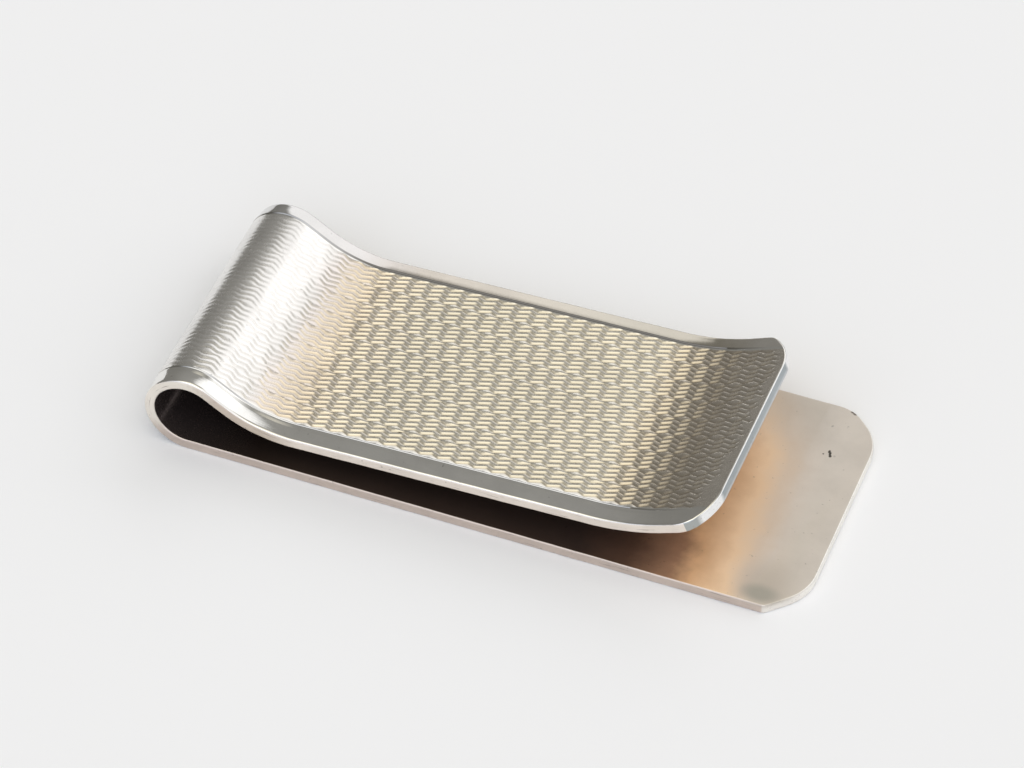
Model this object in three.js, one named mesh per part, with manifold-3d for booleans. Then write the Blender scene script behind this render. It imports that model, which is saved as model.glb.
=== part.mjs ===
// Spring money clip, bent from one strip of sterling silver.
//
// A long flat back leaf runs into a teardrop bow, which is the spring. From the top of the bow a
// ramp comes down to a heel, and the shorter front leaf runs on from there, just above the back
// leaf, to a lip that flares up. Money is held between the two leaves.
//
// The strip is one piece of metal that flexes round its bow. It is divided at the bow's apex, where
// it flexes, and each half into its part of the bow and its leaf: back_leaf and bow_lower, then
// bow_upper and front_leaf.
//
// Millimetres. +X runs from the bow to the free ends, +Y across the strip and +Z from the back leaf
// to the front leaf. The origin is the middle of the clip's length and width, on its underside.

import * as THREE from 'three';
import { mergeVertices } from 'three/addons/utils/BufferGeometryUtils.js';
import Module from 'manifold-3d';

// ---- Driving dimensions ----

const degree = Math.PI / 180;

const overallLength = 54.2;
const stripThickness = 0.9;
const backWidth = 22.7;
const frontWidth = 22.0;

const bowOuterRadius = 3.5;
const rampSlope = 33 * degree;
const rampLength = 1.76;
const heelRadius = 9.98;
const leafSlope = 2.1 * degree;
const leafLength = 24.5;
const lipRadius = 17.35;
const lipSlope = 23 * degree;
const lipLength = 3.8;

// A free corner is a 45 degree chamfer that a large arc blends into the end edge. The cut is the
// length that the whole corner takes off the side edge.
const backCorner = { cut: 2.75, blend: 4.4 };
const frontNearCorner = { cut: 2.05, blend: 5.5 };
const frontFarCorner = { cut: 2.2, blend: 4.3 };

const flexGap = 0.2;
const arcStep = 6 * degree;
const stationMargin = 0.1;
const cornerSegments = 8;

// ---- Values that follow from them ----

const halfThickness = stripThickness / 2;
const bowRadius = bowOuterRadius - halfThickness;
const bowCentre = { x: -overallLength / 2 + bowOuterRadius, z: bowOuterRadius };
const bowSweep = Math.PI + rampSlope;
const backTip = overallLength / 2;

// ---- Midline of the strip from the foot of the bow to the lip ----

function arc(radius, turn) {
  return { length: radius * Math.abs(turn), turn };
}

function line(length) {
  return { length, turn: 0 };
}

const midline = [
  arc(bowRadius, -bowSweep),
  line(rampLength),
  arc(heelRadius, rampSlope + leafSlope),
  line(leafLength),
  arc(lipRadius, lipSlope - leafSlope),
  line(lipLength),
];

// Moves a point along one stretch of constant curvature.
function advance(start, stretch, travelled) {
  const turned = stretch.turn * (travelled / stretch.length);
  const heading = start.heading + turned;
  if (stretch.turn === 0) {
    const x = start.x + travelled * Math.cos(start.heading);
    const z = start.z + travelled * Math.sin(start.heading);
    return { x, z, heading };
  }
  const radius = stretch.length / stretch.turn;
  const x = start.x + radius * (Math.sin(heading) - Math.sin(start.heading));
  const z = start.z - radius * (Math.cos(heading) - Math.cos(start.heading));
  return { x, z, heading };
}

// Point and heading on the midline at a distance s from the foot of the bow.
function pointAt(s) {
  let point = { x: bowCentre.x, z: halfThickness, heading: Math.PI };
  let left = s;
  for (const stretch of midline) {
    if (left <= stretch.length) {
      return advance(point, stretch, left);
    }
    point = advance(point, stretch, stretch.length);
    left -= stretch.length;
  }
  return point;
}

// Distances along the midline from one to the other: its straight ends and small steps in its arcs.
function stations(from, to) {
  const result = [from];
  let start = 0;
  for (const stretch of midline) {
    const steps = Math.max(1, Math.ceil(Math.abs(stretch.turn) / arcStep));
    for (let i = 1; i <= steps; i += 1) {
      const s = start + (stretch.length * i) / steps;
      if (s > from + stationMargin && s < to - stationMargin) {
        result.push(s);
      }
    }
    start += stretch.length;
  }
  result.push(to);
  return result;
}

// ---- Shapes ----

// Side view of the strip between two distances along its midline.
function sideProfile(from, to) {
  const outer = [];
  const inner = [];
  for (const s of stations(from, to)) {
    const { x, z, heading } = pointAt(s);
    const across = new THREE.Vector2(-Math.sin(heading), Math.cos(heading)).multiplyScalar(halfThickness);
    outer.push(new THREE.Vector2(x, z).add(across));
    inner.push(new THREE.Vector2(x, z).sub(across));
  }
  return new THREE.Shape([...outer, ...inner.reverse()]);
}

// Extrudes a side view across the strip, to the width that widthAt gives for each of its points.
function extrudeAcross(profile, widthAt) {
  const geometry = new THREE.ExtrudeGeometry(profile, { depth: 1, bevelEnabled: false });
  geometry.translate(0, 0, -0.5);
  geometry.rotateX(Math.PI / 2);
  const position = geometry.attributes.position;
  for (let i = 0; i < position.count; i += 1) {
    position.setY(i, position.getY(i) * widthAt(position.getX(i), position.getZ(i)));
  }
  return geometry;
}

// The strip narrows evenly from the foot of the bow, round it, to the top of the ramp.
function bowWidth(x, z) {
  const angle = Math.atan2(bowCentre.x - x, bowCentre.z - z);
  const swept = angle < -Math.PI / 2 ? angle + 2 * Math.PI : Math.max(angle, 0);
  return THREE.MathUtils.lerp(backWidth, frontWidth, swept / bowSweep);
}

// Plan view of a leaf that runs from x = start to a free end with two cut corners.
function planOutline(start, tip, width, nearCorner, farCorner) {
  const half = width / 2;
  const nearDepth = cornerDepth(nearCorner);
  const farDepth = cornerDepth(farCorner);
  const outline = new THREE.Shape();
  outline.moveTo(start, -half);
  outline.lineTo(tip - nearCorner.cut, -half);
  outline.absarc(tip - nearCorner.blend, -half + nearDepth, nearCorner.blend, -45 * degree, 0);
  outline.absarc(tip - farCorner.blend, half - farDepth, farCorner.blend, 0, 45 * degree);
  outline.lineTo(tip - farCorner.cut, half);
  outline.lineTo(start, half);
  outline.closePath();
  return outline;
}

// Length that a corner takes off the end edge.
function cornerDepth({ cut, blend }) {
  const chamfer = cut - blend * (1 - Math.cos(45 * degree));
  return chamfer + blend * Math.sin(45 * degree);
}

function extrudeUp(outline, bottom, top) {
  const options = { depth: top - bottom, bevelEnabled: false, curveSegments: cornerSegments };
  const geometry = new THREE.ExtrudeGeometry(outline, options);
  geometry.translate(0, 0, bottom);
  return geometry;
}

// ---- Booleans ----

const wasm = await Module();
wasm.setup();

function toManifold(geometry) {
  const bare = geometry.clone();
  bare.deleteAttribute('normal');
  bare.deleteAttribute('uv');
  const merged = mergeVertices(bare);
  const vertProperties = new Float32Array(merged.attributes.position.array);
  const triVerts = new Uint32Array(merged.index.array);
  return new wasm.Manifold(new wasm.Mesh({ numProp: 3, vertProperties, triVerts }));
}

function toGeometry(manifold) {
  const mesh = manifold.getMesh();
  const geometry = new THREE.BufferGeometry();
  geometry.setAttribute('position', new THREE.BufferAttribute(mesh.vertProperties, 3));
  geometry.setIndex(new THREE.BufferAttribute(mesh.triVerts, 1));
  geometry.computeVertexNormals();
  return geometry;
}

// ---- Sections of the strip ----

const bowFoot = 0;
const bowApex = bowRadius * (Math.PI / 2);
const bowShoulder = bowRadius * bowSweep;
const stripEnd = midline.reduce((sum, stretch) => sum + stretch.length, 0);

function backLeaf() {
  const outline = planOutline(bowCentre.x, backTip, backWidth, backCorner, backCorner);
  return extrudeUp(outline, 0, stripThickness);
}

function bowSection(from, to) {
  return extrudeAcross(sideProfile(from, to), bowWidth);
}

// The ramp, heel, leaf and lip, with the two corners of the lip cut off as seen from above.
function frontLeaf() {
  const strip = extrudeAcross(sideProfile(bowShoulder, stripEnd), () => frontWidth);
  strip.computeBoundingBox();
  const { min, max } = strip.boundingBox;
  const margin = stripThickness;
  const outline = planOutline(min.x - margin, max.x, frontWidth, frontNearCorner, frontFarCorner);
  const cutter = extrudeUp(outline, min.z - margin, max.z + margin);
  return toGeometry(toManifold(strip).intersect(toManifold(cutter)));
}

function silver(color, roughness) {
  return new THREE.MeshStandardMaterial({ color, roughness, metalness: 1 });
}

const bowLower = bowSection(bowFoot, bowApex - flexGap / 2);
const bowUpper = bowSection(bowApex + flexGap / 2, bowShoulder);

const sections = [
  { name: 'back_leaf', geometry: backLeaf(), material: silver(0xc8b89c, 0.3) },
  { name: 'bow_lower', geometry: bowLower, material: silver(0xd6d2ca, 0.25) },
  { name: 'bow_upper', geometry: bowUpper, material: silver(0xdcd6c8, 0.25) },
  { name: 'front_leaf', geometry: frontLeaf(), material: silver(0xd8ccb0, 0.3) },
];

const clip = new THREE.Group();
for (const { name, geometry, material } of sections) {
  const mesh = new THREE.Mesh(geometry, material);
  mesh.name = name;
  clip.add(mesh);
}

export default clip;
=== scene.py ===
"""Looks of the spring money clip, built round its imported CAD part."""

import math

import bpy
import numpy as np
from mathutils import Matrix, Vector


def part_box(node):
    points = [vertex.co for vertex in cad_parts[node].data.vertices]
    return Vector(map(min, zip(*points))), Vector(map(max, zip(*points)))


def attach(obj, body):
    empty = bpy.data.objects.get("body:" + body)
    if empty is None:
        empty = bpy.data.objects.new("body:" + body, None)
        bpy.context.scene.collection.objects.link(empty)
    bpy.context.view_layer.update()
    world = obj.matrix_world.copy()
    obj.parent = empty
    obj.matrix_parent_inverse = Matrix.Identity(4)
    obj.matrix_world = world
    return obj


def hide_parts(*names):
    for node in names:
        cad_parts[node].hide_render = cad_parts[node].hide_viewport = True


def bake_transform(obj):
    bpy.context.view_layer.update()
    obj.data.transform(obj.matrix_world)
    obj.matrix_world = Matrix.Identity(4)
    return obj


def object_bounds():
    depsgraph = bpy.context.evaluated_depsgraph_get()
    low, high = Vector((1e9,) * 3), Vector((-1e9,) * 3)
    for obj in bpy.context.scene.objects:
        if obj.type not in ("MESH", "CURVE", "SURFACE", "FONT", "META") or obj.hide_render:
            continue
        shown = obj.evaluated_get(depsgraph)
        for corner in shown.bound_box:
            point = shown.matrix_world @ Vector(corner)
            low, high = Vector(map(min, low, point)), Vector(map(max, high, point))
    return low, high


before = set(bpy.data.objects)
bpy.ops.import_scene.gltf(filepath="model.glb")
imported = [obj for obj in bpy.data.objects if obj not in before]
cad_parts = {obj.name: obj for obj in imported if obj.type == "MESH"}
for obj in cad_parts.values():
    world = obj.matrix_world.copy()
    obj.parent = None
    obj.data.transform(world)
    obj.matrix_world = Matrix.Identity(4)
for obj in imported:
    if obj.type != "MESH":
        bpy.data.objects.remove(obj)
cad_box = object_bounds()

MM = 0.001


def node_size(node, axis):
    """Size of a CAD node along an axis, in millimetres."""
    low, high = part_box(node)
    return round((high[axis] - low[axis]) / MM, 3)


# ---- The strip, in millimetres: s runs along its midline from the foot of the bow ----

THICKNESS = node_size("back_leaf", 2)
HALF_THICKNESS = THICKNESS / 2
BACK_HALF_WIDTH = node_size("back_leaf", 1) / 2
FRONT_HALF_WIDTH = node_size("front_leaf", 1) / 2
TIP_X = round(cad_box[1][0] / MM, 3)
BOW_RADIUS = 3.05
BOW_X = BOW_RADIUS + HALF_THICKNESS - TIP_X
BOW_SWEEP = math.radians(213)
BOW_END = BOW_RADIUS * BOW_SWEEP
RAMP_LENGTH = 1.76
HEEL_RADIUS = 9.98
HEEL_TURN = math.radians(35.1)
LEAF_LENGTH = 24.5
LIP_RADIUS = 17.35
LIP_TURN = math.radians(20.9)
LIP_LENGTH = 3.8

# Stretches of the midline as (length, turn): bow, ramp, heel, leaf, lip bend and lip.
MIDLINE = [
    (BOW_END, -BOW_SWEEP),
    (RAMP_LENGTH, 0),
    (HEEL_RADIUS * HEEL_TURN, HEEL_TURN),
    (LEAF_LENGTH, 0),
    (LIP_RADIUS * LIP_TURN, LIP_TURN),
    (LIP_LENGTH, 0),
]
FRONT_TIP = sum(length for length, turn in MIDLINE)
BACK_TIP = BOW_X - TIP_X

# The visual model is split here, above the bow's apex.
SPLIT = 5.5

# Corners as (cut along the side, blend radius), near side first.
FRONT_CORNERS = [(1.9, 5.3), (2.0, 4.1)]
BACK_CORNERS = [(2.75, 4.4), (2.75, 4.4)]
# Half the angle by which a chamfer turns from its side edge.
HALF_TURN = math.radians(22.5)
MITRE = math.tan(HALF_TURN)
# Where a chamfer meets its side edge it is rounded: the radius of that, near side first.
SIDE_CORNERS = [
    (FRONT_TIP, FRONT_HALF_WIDTH, FRONT_CORNERS, (2.4, 1.5)),
    (BACK_TIP, BACK_HALF_WIDTH, BACK_CORNERS, (0.6, 3.2)),
]
# Beyond these distances the rows of vertices bend, to follow the corners at the tips.
FRONT_WARP = 51.0
BACK_WARP = -46.0

# ---- The engine turning ----

PITCH = 0.515
LINES = 36
LINES_PER_BAND = 4
PATTERN_NEAR = -9.15
PATTERN_FAR = PATTERN_NEAR + PITCH * LINES
WAVE_PERIOD = 1.5
WAVE_RISE = 7 / 12
WAVE_HEIGHT = 0.27
WAVE_START = 24.7
WAVE_ROUNDING = 0.035
CUT_DEPTH = 0.07
CUT_FLAT = 0.02
CUT_SLOPE = math.tan(math.radians(23))
CUT_START = 1.2
CUT_RUNOUT = 0.35
CELL_SHARES = [0.0, 0.15, 0.38, 0.62, 0.85]

# The lines stop short of the lip by a random length, and by more towards its near corner, as
# (place across, length).
ENDS_SEED = 7
LEAST_GAP = 0.25
MOST_GAP = 1.0
NEAR_GAP_STOPS = [(-9.0, 1.0), (-1.0, 0.0)]

# How deep the lines still are round the bow and ramp, where they are worn, as (s, share).
WEAR_STOPS = [(9.0, 0.2), (10.5, 0.2), (14.0, 0.4), (17.0, 0.8), (18.5, 1.0)]
# That share is raised to these powers, so that the lines are less worn on the near side.
NEAR_WEAR_POWER = 0.7
FAR_WEAR_POWER = 1.3

# ---- The plain borders, as (place across, depth): each has a scored line beside the turning ----

NEAR_BORDER = [
    (-10.85, 0.035),
    (-10.7, 0.035),
    (-10.3, 0.035),
    (-9.74, 0.035),
    (-9.68, 0.03),
    (-9.46, 0.003),
    (-9.4, 0.0),
    (-9.35, 0.0),
    (-9.31, 0.05),
    (-9.28, 0.05),
    (-9.21, 0.0),
]
FAR_BORDER = [
    (9.45, 0.0),
    (9.52, 0.0),
    (9.58, 0.08),
    (9.62, 0.08),
    (9.7, 0.0),
    (9.76, 0.0),
    (10.3, 0.07),
    (10.7, 0.122),
    (10.85, 0.14),
]
# The borders run out over this length, which ends this far from the lip.
BORDER_RUNOUT = 5.0
BORDER_GAP = 2.2
# Each scored line is darker between these places, with dirt and painted shade. The far one is
# fainter round the bow.
NEAR_SCORE = (-9.36, -9.20)
FAR_SCORE = (9.51, 9.71)
NEAR_SCORE_SHADE = 0.5
FAR_SCORE_STOPS = [(12.0, 0.6), (17.0, 1.0)]

# ---- The arrises: radius of each, and the levels down an edge between them ----

TOP_ARRIS = 0.15
LOW_ARRIS = 0.12
ARRIS_TURNS = [math.radians(a) for a in (0, 30, 60, 90)]
SUPPORT = 0.05
# The side edges are worn back by waves of this height, round a mean of so many heights.
EDGE_WEAR = 0.004
MEAN_WEAR = 2.5
# Below this depth the end edge takes its colours from which way it faces: painted highlight and
# shade.
RIM_DEPTH = 0.03

# ---- Spacing of the rows of vertices ----

# Twelve rows to a wave on the engine turning, which begin a little before its first cut.
TURNED_STEP = WAVE_PERIOD / 12
TURNED_LEAD = 0.3
FOOT_STEP = 0.25
LEAF_STEP = 1.0
LEAF_ROWS_BEFORE = -0.5
CORNER_STEP = 0.4
CORNER_ROWS_BEFORE = -44
# The last step before the tip is no shorter than this share of a whole one.
LEAST_LAST_STEP = 0.4
SETTLING_ROUNDS = 4
# Columns of the inner surface, as shares of the half width.
INNER_SHARES = [-0.985, -0.6, -0.2, 0.2, 0.6, 0.985]
# Edges are crisp where they turn by more than this: on the engine turning, and elsewhere.
CUT_CREASE = 13
CORNER_CREASE = 35


def midline(s):
    """Position and heading on the midline at each distance s."""
    s = np.asarray(s, float)
    x = BOW_X - np.minimum(s, 0)
    z = np.full_like(x, HALF_THICKNESS)
    heading = np.full_like(x, math.pi)
    for length, turn in MIDLINE:
        run = np.clip(s, 0, length)
        if turn == 0:
            x = x + run * np.cos(heading)
            z = z + run * np.sin(heading)
        else:
            radius = length / turn
            turned = heading + run / radius
            x = x + radius * (np.sin(turned) - np.sin(heading))
            z = z - radius * (np.cos(turned) - np.cos(heading))
            heading = turned
        s = s - length
    return x, z, heading


def strip_points(s, y, depth):
    """Points of the strip at s and y, and depth below its outer surface."""
    s, y, depth = np.broadcast_arrays(s, y, depth)
    s, y = soften(s, y)
    x, z, heading = midline(s)
    across = HALF_THICKNESS - depth
    return np.stack([x - across * np.sin(heading), y, z + across * np.cos(heading)], axis=-1)


def soften(s, y):
    """Rounds the obtuse corners of the outline, where each chamfer meets its side edge."""
    for tip, half, corners, radii in SIDE_CORNERS:
        direction = 1 if tip > 0 else -1
        for side, (cut, blend), radius in zip((-1, 1), corners, radii):
            along = s - (tip - direction * cut)
            across = y - side * half
            reach = radius * MITRE
            push = np.maximum(0, reach - np.hypot(along, across)) ** 2 / (2 * radius)
            s = s - direction * push * math.sin(HALF_TURN)
            y = y - side * push * math.cos(HALF_TURN)
    return s, y


def width_scale(s):
    """Half width of the strip at s, as a share of the front leaf's."""
    share = np.clip(np.asarray(s, float) / BOW_END, 0, 1)
    return (BACK_HALF_WIDTH + (FRONT_HALF_WIDTH - BACK_HALF_WIDTH) * share) / FRONT_HALF_WIDTH


def corner_profile(y, half, tip, corners, inset):
    """How far the strip reaches at y, and its outward direction there (along, across)."""
    y = np.asarray(y, float)
    reach = np.full_like(y, tip - inset)
    along = np.ones_like(y)
    across = np.zeros_like(y)
    for side, (cut, blend) in zip((-1, 1), corners):
        from_side = half - side * y
        chamfer = cut - blend * (1 - math.cos(math.pi / 4))
        depth = chamfer + blend * math.sin(math.pi / 4)
        radius = blend - inset
        turn = np.clip((depth - from_side) / radius, 0, 1)
        on_arc = (turn > 0) & (turn <= math.sin(math.pi / 4))
        on_chamfer = turn > math.sin(math.pi / 4)
        arc = tip - blend + radius * np.sqrt(1 - turn**2)
        straight = tip - cut + from_side - inset * math.sqrt(2)
        reach = np.where(on_arc, arc, np.where(on_chamfer, straight, reach))
        leaning = np.where(on_chamfer, math.sin(math.pi / 4), turn)
        touched = on_arc | on_chamfer
        across = np.where(touched, side * leaning, across)
        along = np.where(touched, np.sqrt(1 - leaning**2), along)
    return reach, along, across


# ---- Columns of the outer surface ----


def wave(s, band):
    """Sideways swing of the lines of a band: a rounded zigzag that rises slower than it falls."""

    def zigzag(u):
        u = np.mod(u, 1)
        return np.where(u < WAVE_RISE, u / WAVE_RISE, (1 - u) / (1 - WAVE_RISE)) - 0.5

    u = (np.asarray(s, float) - WAVE_START) / WAVE_PERIOD + 0.5 * (band % 2)
    either_side = zigzag(u - WAVE_ROUNDING) + zigzag(u + WAVE_ROUNDING)
    return WAVE_HEIGHT * (either_side + 2 * zigzag(u)) / 4


def line_middle(line):
    """Where a cut line is across the strip, on average."""
    return PATTERN_NEAR + PITCH * (line + 0.5)


def line_ends(tip):
    """Where each line stops short of the free end: ragged, and following the corners."""
    random = np.random.RandomState(ENDS_SEED)
    ends = []
    for line in range(LINES):
        middle = line_middle(line)
        reach, _, _ = corner_profile(middle, FRONT_HALF_WIDTH, tip, FRONT_CORNERS, 0.0)
        ragged = random.uniform(LEAST_GAP, MOST_GAP)
        near_gap = float(np.interp(middle, *zip(*NEAR_GAP_STOPS)))
        ends.append(float(reach) - ragged - near_gap)
    return ends


def line_fade(s, line, ends):
    """Share of its full depth a line is cut to: less where the bow is worn, 0 past its ends."""
    begin = np.clip((s - CUT_START) / CUT_RUNOUT, 0, 1)
    finish = np.clip((ends[line] - s) / CUT_RUNOUT, 0, 1)
    power = NEAR_WEAR_POWER + (FAR_WEAR_POWER - NEAR_WEAR_POWER) * line / LINES
    worn = np.interp(s, *zip(*WEAR_STOPS)) ** power
    return np.minimum(begin, finish) * worn


def border_fade(s):
    """1 where the border lines are cut, falling to 0 towards the lip."""
    begin = np.clip((s - CUT_START) / CUT_RUNOUT, 0, 1)
    finish = np.clip((FRONT_TIP - BORDER_GAP - s) / BORDER_RUNOUT, 0, 1)
    return np.minimum(begin, finish)


def cut_depth(distance):
    """Depth of a cut at this distance to one side of its line."""
    return np.maximum(0, CUT_DEPTH - CUT_SLOPE * np.maximum(0, distance - CUT_FLAT))


def surface_grid(s):
    """Place across, and depth of cut, of every column of the outer surface at distances s."""
    s = np.asarray(s, float)
    ends = line_ends(FRONT_TIP)
    centres = [line_middle(line) + wave(s, line // LINES_PER_BAND) for line in range(LINES)]
    ys, depths = [], []
    for y, depth in NEAR_BORDER:
        ys.append(np.full_like(s, y))
        depths.append(depth * border_fade(s))
    ys.append(np.full_like(s, PATTERN_NEAR))
    depths.append(np.zeros_like(s))
    for line in range(LINES - 1):
        here = centres[line]
        gap = centres[line + 1] - here
        for share in CELL_SHARES:
            here_cut = cut_depth(gap * share) * line_fade(s, line, ends)
            after_cut = cut_depth(gap - gap * share) * line_fade(s, line + 1, ends)
            ys.append(here + gap * share)
            depths.append(np.maximum(here_cut, after_cut))
    here = centres[-1]
    gap = 2 * (PATTERN_FAR - here)
    for share in CELL_SHARES:
        if share < 0.5:
            ys.append(here + gap * share)
            depths.append(cut_depth(gap * share) * line_fade(s, LINES - 1, ends))
    ys.append(np.full_like(s, PATTERN_FAR))
    depths.append(np.zeros_like(s))
    for y, depth in FAR_BORDER:
        ys.append(np.full_like(s, y))
        depths.append(depth * border_fade(s))
    return np.stack(ys, axis=-1), np.stack(depths, axis=-1)


def surface_grid_at(s):
    """Place across and depth of each column, where each column of s has its own distances."""
    ys = np.empty_like(s)
    depths = np.empty_like(s)
    rows_at_once = 64
    for start in range(0, s.shape[0], rows_at_once):
        block = s[start : start + rows_at_once]
        y, depth = surface_grid(block.reshape(-1))
        rows, columns = block.shape
        pick = np.tile(np.arange(columns), rows)
        chosen = np.arange(rows * columns)
        ys[start : start + rows_at_once] = y[chosen, pick].reshape(rows, columns)
        depths[start : start + rows_at_once] = depth[chosen, pick].reshape(rows, columns)
    return ys, depths


# ---- Meshes ----

# What the materials read from each vertex: six masks, then its distance along the strip and its
# depth below the outer face in millimetres.
MASKS = ["recess", "turned", "score", "inner", "edge", "tip"]
PLACES = ["run", "depth"]


def edge_levels():
    """Levels down an edge of the strip, as (how far out from the outer surface's rim, depth)."""
    levels = [(TOP_ARRIS * math.sin(a), TOP_ARRIS * (1 - math.cos(a))) for a in ARRIS_TURNS]
    levels.append((TOP_ARRIS, TOP_ARRIS + SUPPORT))
    levels.append((TOP_ARRIS, THICKNESS - LOW_ARRIS - SUPPORT))
    for a in reversed(ARRIS_TURNS):
        inward = LOW_ARRIS * (1 - math.sin(a))
        levels.append((TOP_ARRIS - inward, THICKNESS - LOW_ARRIS * (1 - math.cos(a))))
    return levels


def row_step(s):
    """Distance from one row of vertices to the next."""
    if s > CUT_START - TURNED_LEAD:
        return TURNED_STEP
    if s < CORNER_ROWS_BEFORE:
        return CORNER_STEP
    if s < LEAF_ROWS_BEFORE:
        return LEAF_STEP
    return FOOT_STEP


def row_distances(start, tip):
    """Distances of the rows: close together on the engine turning, wider on plain metal."""
    sign = 1 if tip > start else -1
    rows = [start]
    while rows[-1] != tip:
        step = row_step(rows[-1])
        following = rows[-1] + sign * step
        if sign * (tip - following) < LEAST_LAST_STEP * step:
            following = tip
        rows.append(following)
    return np.array(rows)


def wear(s, side):
    """How much the strip's side edge is worn back at s: waves that never quite repeat."""
    slow = np.sin(s * 0.83 + side) + np.sin(s * 1.71 + 2.3 * side)
    fine = np.sin(s * 5.9 + 4.0 * side) * np.sin(s * 2.3)
    return EDGE_WEAR * (slow + fine + MEAN_WEAR)


def quads(grid):
    """Quads between neighbouring rows and columns of a grid of vertex numbers."""
    a = grid[:-1, :-1].ravel()
    b = grid[1:, :-1].ravel()
    c = grid[1:, 1:].ravel()
    d = grid[:-1, 1:].ravel()
    return np.stack([a, b, c, d], axis=1).tolist()


class Strip:
    """The closed skin of the strip, from a flat cut at start to its free end at tip."""

    def __init__(self, start, tip, corners, warp_from):
        self.sign = 1 if tip > start else -1
        self.tip = tip
        self.corners = corners
        self.warp_from = warp_from
        self.rows = row_distances(start, tip)
        self.half = FRONT_HALF_WIDTH * float(width_scale(tip))
        self.vertices, self.runs, self.depths = [], [], []
        self.total = 0
        self.lay_outer_surface()
        self.lay_edges()
        self.lay_inner_surface()

    def lay(self, run, across, below):
        """Adds vertices at these distances, places across and depths, and returns their numbers."""
        run, across, below = np.broadcast_arrays(run, across, below)
        self.vertices.append(strip_points(run, across, below).reshape(-1, 3))
        self.runs.append(run.ravel())
        self.depths.append(below.ravel())
        self.total += run.size
        return np.arange(self.total - run.size, self.total).reshape(run.shape)

    def outline(self, wide):
        """Reach and outward direction of the outer surface's rim at the free end."""
        return corner_profile(wide, self.half, abs(self.tip), self.corners, TOP_ARRIS)

    def lay_outer_surface(self):
        """Rows and columns, bent near the free end so that the last row follows the outline."""
        reference, _ = surface_grid(self.rows)
        s = np.repeat(self.rows[:, None], reference.shape[1], axis=1)
        bend = np.clip((self.rows - self.warp_from) / (self.tip - self.warp_from), 0, 1)[:, None]
        # the columns swing as their rows move, so the two are settled in turns
        for _ in range(SETTLING_ROUNDS):
            y, _ = surface_grid_at(s)
            reach, _, _ = self.outline(y * width_scale(s))
            bent = self.warp_from + bend * (self.sign * reach - self.warp_from)
            s = np.where(bend > 0, bent, self.rows[:, None])
        self.s = s
        self.y, self.cut = surface_grid_at(s)
        self.wide = self.y * width_scale(s)
        self.grid = self.lay(s, self.wide, self.cut)

    def lay_edges(self):
        """The two side edges and the end edge, level by level from the outer face down."""
        self.near, self.far, self.end = [self.grid[:, 0]], [self.grid[:, -1]], [self.grid[-1]]
        self.tip_turns = []
        _, end_along, end_across = self.outline(self.wide[-1])
        end_along = self.sign * end_along
        between = slice(1, -1)
        for out, depth in edge_levels()[1:]:
            sides = []
            for column, side in ((0, -1), (-1, 1)):
                along = np.zeros(len(self.rows))
                along[-1] = self.sign * out * MITRE
                lowered = self.cut[:, column] if depth < HALF_THICKNESS else 0.0
                across = self.wide[:, column] + side * (out - wear(self.s[:, column], side))
                sides.append(self.lay(self.s[:, column] + along, across, depth + lowered))
            self.near.append(sides[0])
            self.far.append(sides[1])
            run = self.s[-1, between] + out * end_along[between]
            across = self.wide[-1, between] + out * end_across[between]
            middle = self.lay(run, across, depth)
            self.end.append(np.concatenate([[sides[0][-1]], middle, [sides[1][-1]]]))
            if depth > RIM_DEPTH:
                turn = np.arctan2(np.abs(end_along), np.abs(end_across))
                self.tip_turns.append((self.end[-1], turn))

    def lay_inner_surface(self):
        """Few columns, and one flat face over the free end."""
        last = int(np.argmax(self.sign * (self.rows - self.warp_from) > 0)) - 1
        self.flat_from = last
        here = slice(0, last + 1)
        half = (self.wide[here, -1:] - self.wide[here, :1]) / 2
        inner = self.lay(self.rows[here, None], half * np.array(INNER_SHARES), THICKNESS)
        self.inner_columns = inner
        sides = [self.near[-1][here, None], inner, self.far[-1][here, None]]
        self.inner_grid = np.concatenate(sides, axis=1)

    def faces(self):
        """All faces, with the two flat ones last."""
        skin = quads(self.grid)
        skin += quads(np.stack(self.near[::-1], axis=1))
        skin += quads(np.stack(self.far, axis=1))
        skin += quads(np.stack(self.end, axis=0))
        skin += quads(self.inner_grid[:, ::-1])
        beyond = slice(self.flat_from + 1, None)
        end_face = list(self.inner_grid[-1][::-1]) + list(self.near[-1][beyond])
        end_face += list(self.end[-1][1:-1]) + list(self.far[-1][beyond][::-1])
        cap = [level[0] for level in self.near[::-1]] + list(self.grid[0][1:-1])
        cap += [level[0] for level in self.far] + list(self.inner_grid[0][1:-1][::-1])
        flat = [end_face, cap]
        if self.sign > 0:
            return skin, [face[::-1] for face in flat]
        return [face[::-1] for face in skin], flat

    def masks(self):
        """What the materials need to know of each vertex."""
        masks = {name: np.zeros(self.total, np.float32) for name in MASKS}
        outer = slice(0, self.grid.size)
        inside = (self.y > PATTERN_NEAR) & (self.y < PATTERN_FAR) & (self.s > CUT_START)
        masks["recess"][outer] = np.clip(inside * self.cut / CUT_DEPTH, 0, 1).reshape(-1)
        masks["turned"][outer] = inside.reshape(-1)
        near_score = (self.y > NEAR_SCORE[0]) & (self.y < NEAR_SCORE[1])
        far_score = (self.y > FAR_SCORE[0]) & (self.y < FAR_SCORE[1])
        scored = NEAR_SCORE_SHADE * near_score
        scored = scored + np.interp(self.s, *zip(*FAR_SCORE_STOPS)) * far_score
        masks["score"][outer] = (scored * border_fade(self.s)).reshape(-1)
        masks["edge"][self.near[2][0] :] = 1
        for level in [self.near[-1], self.far[-1], self.end[-1], self.inner_columns.ravel()]:
            masks["edge"][level] = 0
            masks["inner"][level] = 1
        for level, turn in self.tip_turns:
            masks["tip"][level] = turn / (math.pi / 2)
        return masks


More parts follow.
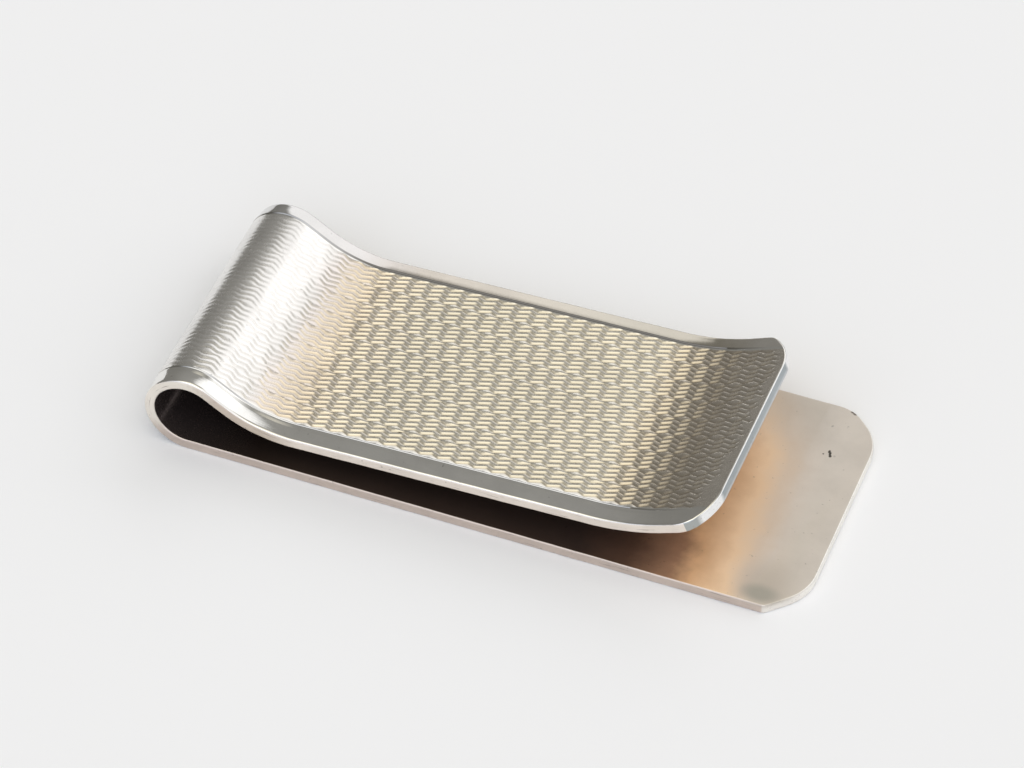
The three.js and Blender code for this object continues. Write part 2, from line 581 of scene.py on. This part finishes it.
def strip_mesh(name, strip):
    """Mesh object of a strip, with what its material reads."""
    mesh = bpy.data.meshes.new(name)
    skin, flat = strip.faces()
    faces = [list(face) for face in skin + flat]
    mesh.from_pydata((np.concatenate(strip.vertices) * MM).tolist(), [], faces)
    mesh.validate()
    mesh.update()
    smooth = np.ones(len(mesh.polygons), bool)
    smooth[-len(flat) :] = False
    mesh.polygons.foreach_set("use_smooth", smooth)
    masks = strip.masks()
    sharpen(mesh, masks["turned"])
    places = zip(PLACES, [np.concatenate(strip.runs), np.concatenate(strip.depths)])
    for label, values in [*masks.items(), *places]:
        attribute = mesh.attributes.new(label, "FLOAT", "POINT")
        attribute.data.foreach_set("value", values.astype(np.float32))
    piece = bpy.data.objects.new(name, mesh)
    bpy.context.collection.objects.link(piece)
    return piece


def sharp_edges(mesh, degrees):
    """Whether each edge of the mesh turns by more than an angle."""
    mesh.set_sharp_from_angle(angle=math.radians(degrees))
    sharp = np.zeros(len(mesh.edges), bool)
    mesh.attributes["sharp_edge"].data.foreach_get("value", sharp)
    return sharp


def sharpen(mesh, turned):
    """Crisp edges: the corners of the strip, and the cuts and ridges of the engine turning."""
    ends = np.zeros(2 * len(mesh.edges), np.int32)
    mesh.edges.foreach_get("vertices", ends)
    on_turning = turned[ends].reshape(-1, 2).all(axis=1)
    crisp = sharp_edges(mesh, CUT_CREASE) & on_turning
    crisp |= sharp_edges(mesh, CORNER_CREASE)
    mesh.attributes["sharp_edge"].data.foreach_set("value", crisp)


# ---- Materials ----


class Graph:
    """Short calls that add nodes to a node tree and link them."""

    def __init__(self, tree):
        self.tree = tree

    def set(self, socket, value):
        if isinstance(value, bpy.types.NodeSocket):
            self.tree.links.new(value, socket)
        else:
            socket.default_value = value

    def add(self, kind, **settings):
        made = self.tree.nodes.new(kind)
        for key, value in settings.items():
            setattr(made, key, value)
        return made

    def math(self, operation, a, b=0.0):
        made = self.add("ShaderNodeMath", operation=operation)
        self.set(made.inputs[0], a)
        self.set(made.inputs[1], b)
        return made.outputs[0]

    def vector(self, operation, a, b=(0, 0, 0)):
        made = self.add("ShaderNodeVectorMath", operation=operation)
        self.set(made.inputs[0], a)
        self.set(made.inputs[1], b)
        return made.outputs["Value" if operation in ("LENGTH", "DOT_PRODUCT") else "Vector"]

    def scale(self, a, factor):
        made = self.add("ShaderNodeVectorMath", operation="SCALE")
        self.set(made.inputs[0], a)
        self.set(made.inputs["Scale"], factor)
        return made.outputs[0]

    def attribute(self, name):
        return self.add("ShaderNodeAttribute", attribute_name=name).outputs["Fac"]

    def separate(self, vector):
        made = self.add("ShaderNodeSeparateXYZ")
        self.set(made.inputs[0], vector)
        return made.outputs

    def combine(self, x, y, z):
        made = self.add("ShaderNodeCombineXYZ")
        for socket, value in zip(made.inputs, (x, y, z)):
            self.set(socket, value)
        return made.outputs[0]

    def noise(self, vector, scale, detail=3.0, roughness=0.5):
        made = self.add("ShaderNodeTexNoise")
        self.set(made.inputs["Vector"], vector)
        self.set(made.inputs["Scale"], scale)
        self.set(made.inputs["Detail"], detail)
        self.set(made.inputs["Roughness"], roughness)
        return made.outputs["Fac"]

    def range(self, value, low, high, to_low=0.0, to_high=1.0):
        made = self.add("ShaderNodeMapRange", interpolation_type="SMOOTHSTEP")
        self.set(made.inputs["Value"], value)
        self.set(made.inputs["From Min"], low)
        self.set(made.inputs["From Max"], high)
        self.set(made.inputs["To Min"], to_low)
        self.set(made.inputs["To Max"], to_high)
        return made.outputs["Result"]

    def ramp(self, value, low, high, stops):
        """Colours at places between low and high."""
        made = self.add("ShaderNodeValToRGB")
        elements = made.color_ramp.elements
        while len(elements) < len(stops):
            elements.new(0.5)
        for element, (place, colour) in zip(elements, stops):
            element.position = (place - low) / (high - low)
            element.color = (*colour, 1)
        spread = self.add("ShaderNodeMapRange")
        self.set(spread.inputs["Value"], value)
        self.set(spread.inputs["From Min"], low)
        self.set(spread.inputs["From Max"], high)
        self.set(made.inputs[0], spread.outputs["Result"])
        return made.outputs["Color"]

    def mix(self, factor, a, b, blend="MIX"):
        made = self.add("ShaderNodeMix", data_type="RGBA", blend_type=blend)
        self.set(made.inputs[0], factor)
        self.set(made.inputs[6], a if not isinstance(a, tuple) else (*a, 1))
        self.set(made.inputs[7], b if not isinstance(b, tuple) else (*b, 1))
        return made.outputs[2]

    def grey(self, value):
        made = self.add("ShaderNodeCombineColor")
        for channel in made.inputs:
            self.set(channel, value)
        return made.outputs[0]

    def spot(self, place, centre, size, fade):
        """1 inside an ellipsoid round centre, fading to 0 outside it."""
        away = self.vector("DIVIDE", self.vector("SUBTRACT", place, centre), size)
        return self.range(self.vector("LENGTH", away), 1.0 + fade, 1.0 - fade)


# Colour stops run along the clip, from x = -27 at the bow to x = 27 at the tip, and wander by this.
ALONG = (-27, 27)
WANDER = 2.5

# The engine turning: a warm tarnish tone, browner near x = -17 and lighter near x = -13.5; the
# darker stretch from x = 11 on, darkest near x = 14.5, is painted shade.
TURNING_STOPS = [
    (-27, (0.88, 0.87, 0.85)),
    (-19.5, (0.88, 0.86, 0.83)),
    (-18.3, (0.85, 0.79, 0.75)),
    (-17, (0.80, 0.72, 0.64)),
    (-15.5, (0.90, 0.81, 0.70)),
    (-13.5, (0.98, 0.91, 0.80)),
    (-11, (0.93, 0.88, 0.785)),
    (-9, (0.89, 0.85, 0.76)),
    (9, (0.89, 0.85, 0.76)),
    (11.2, (0.86, 0.78, 0.66)),
    (13, (0.77, 0.70, 0.60)),
    (14.5, (0.71, 0.64, 0.55)),
    (16.5, (0.78, 0.72, 0.645)),
    (18.5, (0.82, 0.77, 0.70)),
]
# The far border: yellowish, dimmed along most of its length and lightened towards the tip, painted
# shade and highlight that stand in for its reflections.
FAR_BORDER_STOPS = [
    (-27, (0.72, 0.72, 0.71)),
    (-17.5, (0.74, 0.72, 0.70)),
    (-15, (0.66, 0.62, 0.58)),
    (-12, (0.62, 0.57, 0.50)),
    (4, (0.60, 0.56, 0.48)),
    (9, (0.54, 0.505, 0.43)),
    (13, (0.56, 0.52, 0.44)),
    (14.8, (0.74, 0.70, 0.63)),
    (16.5, (0.90, 0.87, 0.82)),
]
UPPER_SIDE_STOPS = [
    (-27, (0.87, 0.82, 0.75)),
    (-23.5, (0.90, 0.85, 0.77)),
    (-21, (0.70, 0.61, 0.53)),
    (-17.5, (0.68, 0.59, 0.50)),
    (-14, (0.88, 0.80, 0.72)),
    (20, (0.88, 0.80, 0.72)),
]
# The inner faces of the front and back strips: tarnish, with painted shade that makes them darkest
# inside the bow and deep in the gap between the leaves.
UNDERSIDE_STOPS = [
    (-27, (0.15, 0.12, 0.115)),
    (-18, (0.09, 0.07, 0.06)),
    (10, (0.22, 0.155, 0.12)),
    (20, (0.66, 0.52, 0.40)),
]
LEAF_STOPS = [
    (-27, (0.15, 0.12, 0.115)),
    (-18, (0.06, 0.04, 0.03)),
    (9, (0.07, 0.045, 0.035)),
    (13.0, (0.16, 0.088, 0.057)),
    (16.8, (0.47, 0.28, 0.174)),
    (18.3, (0.92, 0.605, 0.345)),
    (20.7, (1.0, 0.75, 0.51)),
    (22.4, (0.76, 0.625, 0.50)),
    (24.0, (0.68, 0.603, 0.526)),
    (25.5, (0.64, 0.584, 0.518)),
    (27, (0.64, 0.584, 0.52)),
]
# The end edges take theirs by the way they face, painted highlight, shade and reflection: 0 is
# across the strip and 1 along it. The white stretch on the lip is a painted highlight round its
# corner.
LIP_RIM_LIGHT_STOPS = [
    (0.0, (0.43, 0.45, 0.43)),
    (0.57, (0.45, 0.47, 0.46)),
    (0.63, (1.0, 1.0, 1.0)),
    (0.90, (1.0, 1.0, 1.0)),
    (0.96, (0.40, 0.44, 0.46)),
    (1.0, (0.42, 0.46, 0.48)),
]
LEAF_RIM_LIGHT_STOPS = [
    (0.0, (0.76, 0.71, 0.66)),
    (1.0, (0.95, 0.93, 0.88)),
]
# Small marks, and two broad patches of painted shade on the back leaf, as (centre, size, colour,
# softness of its edge).
FRONT_SPOTS = [
    ((-7.0, -7.35, 3.9), (0.22, 0.12, 0.4), (0.10, 0.08, 0.05), 0.35),
    ((-18.0, -4.1, 5.6), (0.25, 0.12, 0.8), (0.25, 0.20, 0.17), 0.35),
]
BACK_MARKS_AND_SHADE = [
    # The first two are broad patches of painted shade on the back leaf's near side towards its tip;
    # the rest are small marks.
    ((23.9, -9.3, 0.9), (1.7, 2.2, 0.3), (0.55, 0.49, 0.425), 0.9),
    ((23.7, -10.2, 0.9), (1.3, 0.8, 0.3), (0.41, 0.385, 0.335), 0.6),
    ((23.88, 6.15, 0.9), (0.10, 0.17, 0.3), (0.06, 0.05, 0.04), 0.35),
    ((24.0, 5.95, 0.9), (0.10, 0.20, 0.3), (0.06, 0.05, 0.04), 0.35),
    ((24.08, 5.70, 0.9), (0.12, 0.14, 0.3), (0.06, 0.05, 0.04), 0.35),
    ((23.5, 5.75, 0.9), (0.07, 0.07, 0.3), (0.12, 0.10, 0.08), 0.35),
    ((24.28, 11.0, 0.9), (0.18, 0.13, 0.3), (0.16, 0.13, 0.11), 0.4),
    ((24.50, 10.86, 0.9), (0.17, 0.13, 0.3), (0.20, 0.17, 0.14), 0.4),
]

# How the bands of tarnish and painted shade run across the leaf, from these places across it.
LEAN_FROM = -10.4
BAND_LEAN = 0.09
BEND_FROM = 4.0
BAND_BEND = 0.05
BAND_SHIFT = 0.6

# Dirt and painted shade in the cuts and in the scored lines, and single colours of the borders, leaf
# and edges.
CUT_DIRT_AND_SHADE = (0.36, 0.30, 0.20)
CUT_DIRT_AND_SHADE_SHARE = 0.43
SCORE_DIRT_AND_SHADE = (0.20, 0.18, 0.15)
NEAR_BORDER_COLOUR = (0.88, 0.87, 0.835)
CLEANER_LEAF = (0.60, 0.545, 0.48)
LOWER_SIDE = (0.65, 0.56, 0.50)
# A painted reflection: light blue-grey on the foot of the end edges.
RIM_FOOT_LIGHT = (0.64, 0.66, 0.68)
EDGE_SCRATCH = (0.42, 0.36, 0.33)

# Roughness of the polished borders, and height of the scratches.
POLISHED = 0.08
RELIEF_HEIGHT = 0.005


class Surface:
    """What the silver's colours and finish depend on: the place, the masks and the noises."""

    def __init__(self, graph):
        self.place = graph.scale(graph.add("ShaderNodeTexCoord").outputs["Object"], 1 / MM)
        self.x, self.y, self.z = graph.separate(self.place)
        self.recess = graph.attribute("recess")
        self.turned = graph.attribute("turned")
        self.score = graph.attribute("score")
        self.inner = graph.attribute("inner")
        self.edge = graph.attribute("edge")
        self.tip = graph.attribute("tip")
        self.depth = graph.attribute("depth")
        self.cloud = graph.noise(self.place, scale=0.35, detail=4.0, roughness=0.6)
        self.grain = graph.noise(self.place, scale=3.0, detail=5.0, roughness=0.65)
        self.specks = graph.noise(self.place, scale=2.6, detail=2.0, roughness=0.5)
        # streaks run along the strip, round its bow too, and scratches run across it
        on_strip = graph.combine(graph.attribute("run"), self.y, self.depth)
        drawn_out = graph.vector("MULTIPLY", on_strip, (0.3, 7.0, 7.0))
        self.streaks = graph.noise(drawn_out, scale=1.0, detail=4.0, roughness=0.7)
        drawn_across = graph.vector("MULTIPLY", self.place, (7.0, 0.35, 1.0))
        self.scratches = graph.noise(drawn_across, scale=1.0, detail=2.0, roughness=0.6)
        # the place along the clip, which wanders so that no band of colour has a straight edge
        wander = graph.math("MULTIPLY", graph.math("SUBTRACT", self.cloud, 0.5), WANDER)
        self.along = graph.math("ADD", self.x, wander)


def outer_colour(graph, surface):
    """Plain borders, the far one yellowish with painted shade and highlight along it, and the engine
    turning with dirt and painted shade in its cuts and scored lines.
    """
    past_turning = graph.range(surface.y, 9.6, 9.8)
    far = graph.math("MULTIPLY", past_turning, graph.range(surface.z, 2.0, 3.0))
    # The far border's stops paint shade and highlight along it.
    yellowed_and_painted_light = graph.ramp(surface.along, *ALONG, FAR_BORDER_STOPS)
    border = graph.mix(far, NEAR_BORDER_COLOUR, yellowed_and_painted_light)
    # The engine turning's stops paint shade from x = 11 towards the tip.
    plain = graph.mix(surface.turned, border, graph.ramp(surface.along, *ALONG, TURNING_STOPS))
    # Dirt and painted shade darken the cuts and the scored lines.
    plain = graph.mix(graph.math("MULTIPLY", surface.recess, CUT_DIRT_AND_SHADE_SHARE), plain, CUT_DIRT_AND_SHADE)
    return graph.mix(surface.score, plain, SCORE_DIRT_AND_SHADE)


def inner_colour(graph, surface, stops):
    """Bands of tarnish and painted shade, darkest deep between the leaves, that lean across the
    leaf, bend on its far side and shift in its middle.
    """
    y = surface.y
    lean = graph.math("MULTIPLY", graph.math("SUBTRACT", y, LEAN_FROM), BAND_LEAN)
    far_side = graph.math("MAXIMUM", graph.math("SUBTRACT", y, BEND_FROM), 0.0)
    bend = graph.math("MULTIPLY", graph.math("POWER", far_side, 2.0), BAND_BEND)
    band = graph.math("ADD", surface.along, graph.math("ADD", lean, bend))
    off_near_side = graph.range(y, -9, -3, 0, BAND_SHIFT)
    shift = graph.math("MULTIPLY", off_near_side, graph.range(band, 20.5, 18.0))
    band = graph.math("ADD", band, shift)
    cleaner = graph.math("MULTIPLY", graph.range(y, 3, 10, 0, 0.45), graph.range(band, 17, 19))
    return graph.mix(cleaner, graph.ramp(band, *ALONG, stops), CLEANER_LEAF)


def edge_colour(graph, surface, tip_light_stops):
    """The side edges, and the end edge coloured by the way it faces with painted highlight, shade
    and reflection, both scratched along their length.
    """
    upper_side = graph.ramp(surface.along, *ALONG, UPPER_SIDE_STOPS)
    side = graph.mix(graph.range(surface.z, 0.8, 2.6), LOWER_SIDE, upper_side)
    # The end edge's colours by facing are painted highlight, shade and reflection.
    end = graph.ramp(surface.tip, 0, 1, tip_light_stops)
    rim = graph.mix(graph.range(surface.tip, 0.0, 0.25), side, end)
    low = graph.range(surface.depth, 0.5, 0.75)
    # A painted reflection lightens the foot of the end edges that face along the strip.
    foot = graph.math("MULTIPLY", low, graph.range(surface.tip, 0.90, 0.96))
    rim = graph.mix(foot, rim, RIM_FOOT_LIGHT, "LIGHTEN")
    return graph.mix(graph.range(surface.streaks, 0.41, 0.30), rim, EDGE_SCRATCH)


def marked(graph, surface, colour, spots):
    """The colour with a soft mottle, small specks and the marks of this clip, among them patches of
    painted shade.
    """
    mottle = graph.range(surface.cloud, 0.3, 0.7, 0.94, 1.02)
    specks = graph.range(surface.specks, 0.70, 0.78, 1.0, 0.7)
    shade = graph.grey(graph.math("MULTIPLY", mottle, specks))
    colour = graph.mix(1.0, colour, shade, "MULTIPLY")
    # Marks, among them patches of painted shade.
    for centre, size, dark, fade in spots:
        colour = graph.mix(graph.spot(surface.place, centre, size, fade), colour, dark)
    return colour


def silver_roughness(graph, surface):
    """Polished borders, and a duller turning, edge and inner face."""
    open_leaf = graph.math("MULTIPLY", graph.range(surface.x, -22, -12), surface.inner)
    roughness = POLISHED
    duller = [
        (surface.turned, 0.16),
        (surface.inner, 0.16),
        (open_leaf, 0.2),
        (surface.edge, 0.24),
    ]
    for mask, added in duller:
        roughness = graph.math("ADD", roughness, graph.math("MULTIPLY", mask, added))
    return graph.math("ADD", roughness, graph.range(surface.grain, 0.3, 0.75, -0.03, 0.05))


def silver_relief(graph, surface):
    """Fine scratches and a slight unevenness of the metal."""
    height = graph.math("MULTIPLY", surface.streaks, 0.4)
    for noise, share in ((surface.grain, 0.2), (surface.scratches, 0.2), (surface.cloud, 1.2)):
        height = graph.math("ADD", height, graph.math("MULTIPLY", noise, share))
    bump = graph.add("ShaderNodeBump")
    bump.inputs["Strength"].default_value = 1.0
    bump.inputs["Distance"].default_value = RELIEF_HEIGHT * MM
    graph.set(bump.inputs["Height"], height)
    return bump.outputs[0]


def silver(name, inner_stops, tip_light_stops, spots):
    """Worn silver: bright on its outer face, with tarnish and painted shade on its inner one."""
    material = bpy.data.materials.new(name)
    material.use_nodes = True
    graph = Graph(material.node_tree)
    surface = Surface(graph)
    # Tarnish, and painted shade inside the bow and deep between the leaves.
    tarnish_and_gap_shade = inner_colour(graph, surface, inner_stops)
    colour = graph.mix(surface.inner, outer_colour(graph, surface), tarnish_and_gap_shade)
    colour = graph.mix(surface.edge, colour, edge_colour(graph, surface, tip_light_stops))
    # the film of tarnish isn't bare metal
    film = graph.math("MULTIPLY", surface.inner, graph.range(surface.x, -24, -12, 0.25, 0.5))
    shader = material.node_tree.nodes["Principled BSDF"]
    graph.set(shader.inputs["Base Color"], marked(graph, surface, colour, spots))
    graph.set(shader.inputs["Roughness"], silver_roughness(graph, surface))
    graph.set(shader.inputs["Normal"], silver_relief(graph, surface))
    graph.set(shader.inputs["Metallic"], graph.math("SUBTRACT", 1.0, film))
    return material


# ---- Camera, light and floor ----

# Where the camera stands: its direction, its roll, what it looks at and how far off, in millimetres.
CAMERA_AZIMUTH = math.radians(20.16)
CAMERA_ELEVATION = math.radians(44.71)
CAMERA_ROLL = math.radians(1.07)
CAMERA_TARGET = (-2.30, 4.85, 0)
CAMERA_DISTANCE = 362.7
SENSOR_WIDTH = 36
LENS = 159.61

# Soft lights as (direction, full within and gone beyond these degrees of it, the elevations where
# it is gone and full if those matter, colour).
LIGHTS = [
    ((0, 0, 1), 179, 180, None, (0.215, 0.21, 0.196)),
    ((0.0, -0.06, 1), 16, 39, None, (1.05, 0.98, 0.80)),
    ((0.20, 0.80, 0.50), 20, 60, None, (0.10, 0.10, 0.10)),
    ((0.255, 0.951, 0.174), 37.5, 43.8, (7, 18), (0.87, 0.87, 0.89)),
    ((0.80, 0.15, 0.58), 20, 38, None, (0.75, 0.75, 0.76)),
    ((-0.05, -0.80, 0.60), 25, 52, None, (0.82, 0.88, 1.03)),
    ((0.68, -0.68, 0.30), 20, 50, None, (0.35, 0.35, 0.35)),
    ((0, 1, 0), 9, 14, (4.5, 2.5), (0.57, 0.57, 0.58)),
    ((-1, 0, 0), 9, 14, (4.5, 2.5), (0.625, 0.625, 0.635)),
]

FLOOR_HALF_SIZE = 1.5
FLOOR_COLOUR = (0.92, 0.925, 0.94, 1)
FLOOR_ROUGHNESS = 0.9


def look_camera():
    """The camera that the clip is seen from."""
    view = Vector(
        (
            -math.sin(CAMERA_AZIMUTH) * math.cos(CAMERA_ELEVATION),
            math.cos(CAMERA_AZIMUTH) * math.cos(CAMERA_ELEVATION),
            -math.sin(CAMERA_ELEVATION),
        )
    )
    level = Vector((math.cos(CAMERA_AZIMUTH), math.sin(CAMERA_AZIMUTH), 0))
    upright = level.cross(view)
    right = math.cos(CAMERA_ROLL) * level + math.sin(CAMERA_ROLL) * upright
    up = math.cos(CAMERA_ROLL) * upright - math.sin(CAMERA_ROLL) * level
    data = bpy.data.cameras.new("camera")
    data.sensor_width = SENSOR_WIDTH
    data.lens = LENS
    data.clip_start = 0.01
    data.clip_end = 10
    camera = bpy.data.objects.new("camera", data)
    bpy.context.collection.objects.link(camera)
    axes = Matrix((right, up, -view)).transposed().to_4x4()
    place = (Vector(CAMERA_TARGET) - view * CAMERA_DISTANCE) * MM
    camera.matrix_world = Matrix.Translation(place) @ axes
    bpy.context.scene.camera = camera


def surroundings():
    """A studio as the metal mirrors it: soft lights on a grey room."""
    world = bpy.data.worlds.new("studio")
    bpy.context.scene.world = world
    world.use_nodes = True
    world.node_tree.nodes.clear()
    graph = Graph(world.node_tree)
    direction = graph.add("ShaderNodeTexCoord").outputs["Generated"]
    height = graph.separate(direction)[2]
    total = (0, 0, 0)
    for axis, full, gone, elevations, colour in LIGHTS:
        facing = graph.vector("DOT_PRODUCT", direction, Vector(axis).normalized())
        strength = graph.range(facing, math.cos(math.radians(gone)), math.cos(math.radians(full)))
        if elevations:
            gone_at, full_at = (math.sin(math.radians(angle)) for angle in elevations)
            strength = graph.math("MULTIPLY", strength, graph.range(height, gone_at, full_at))
        total = graph.vector("ADD", graph.scale(colour, strength), total)
    background = graph.add("ShaderNodeBackground")
    graph.set(background.inputs["Color"], total)
    output = graph.add("ShaderNodeOutputWorld")
    graph.set(output.inputs["Surface"], background.outputs[0])


def floor():
    """A plain pale floor."""
    size = FLOOR_HALF_SIZE
    corners = [(-size, -size, 0), (size, -size, 0), (size, size, 0), (-size, size, 0)]
    mesh = bpy.data.meshes.new("floor")
    mesh.from_pydata(corners, [], [(0, 1, 2, 3)])
    plane = bpy.data.objects.new("floor", mesh)
    bpy.context.collection.objects.link(plane)
    material = bpy.data.materials.new("floor")
    material.use_nodes = True
    shader = material.node_tree.nodes["Principled BSDF"]
    shader.inputs["Base Color"].default_value = FLOOR_COLOUR
    shader.inputs["Roughness"].default_value = FLOOR_ROUGHNESS
    mesh.materials.append(material)


# ---- The scene ----

bpy.context.scene.view_settings.view_transform = "Standard"
look_camera()
surroundings()
floor()

front = strip_mesh("front_strip", Strip(SPLIT, FRONT_TIP, FRONT_CORNERS, FRONT_WARP))
back = strip_mesh("back_strip", Strip(SPLIT, BACK_TIP, BACK_CORNERS, BACK_WARP))
front.data.materials.append(silver("engraved_silver", UNDERSIDE_STOPS, LIP_RIM_LIGHT_STOPS, FRONT_SPOTS))
back.data.materials.append(silver("plain_silver", LEAF_STOPS, LEAF_RIM_LIGHT_STOPS, BACK_MARKS_AND_SHADE))

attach(front, "front_half")
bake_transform(back)
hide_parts("front_leaf", "bow_upper")
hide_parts("back_leaf", "bow_lower")


def plain(box):
    return [[float(v) for v in corner] for corner in box]
